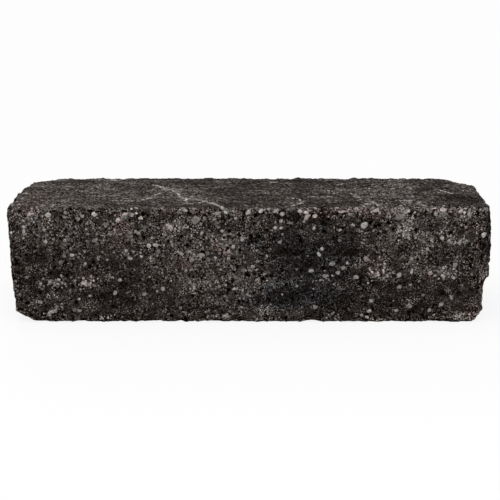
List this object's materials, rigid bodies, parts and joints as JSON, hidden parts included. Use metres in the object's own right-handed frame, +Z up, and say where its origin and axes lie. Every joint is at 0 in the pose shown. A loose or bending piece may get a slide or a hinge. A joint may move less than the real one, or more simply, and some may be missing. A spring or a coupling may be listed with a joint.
{
  "type": "concrete edging block",
  "caption": "Long square-section concrete block with tumbled, chipped edges, laid end to end as garden edging or stacked as low walling.",
  "frame": {"origin": "middle of the bed face that the block lies on", "axes": "+X along the block's length, +Y from the face side to the back, +Z up from the bed"},
  "size_m": [0.6, 0.15, 0.15],
  "materials": {
    "tumbled_concrete": "anthracite pressed concrete, matt and pitted, with grey and pinkish stones showing in the worn surface"
  },
  "bodies": {
    "root": {"edging_block": "tumbled_concrete"}
  },
  "joints": []
}
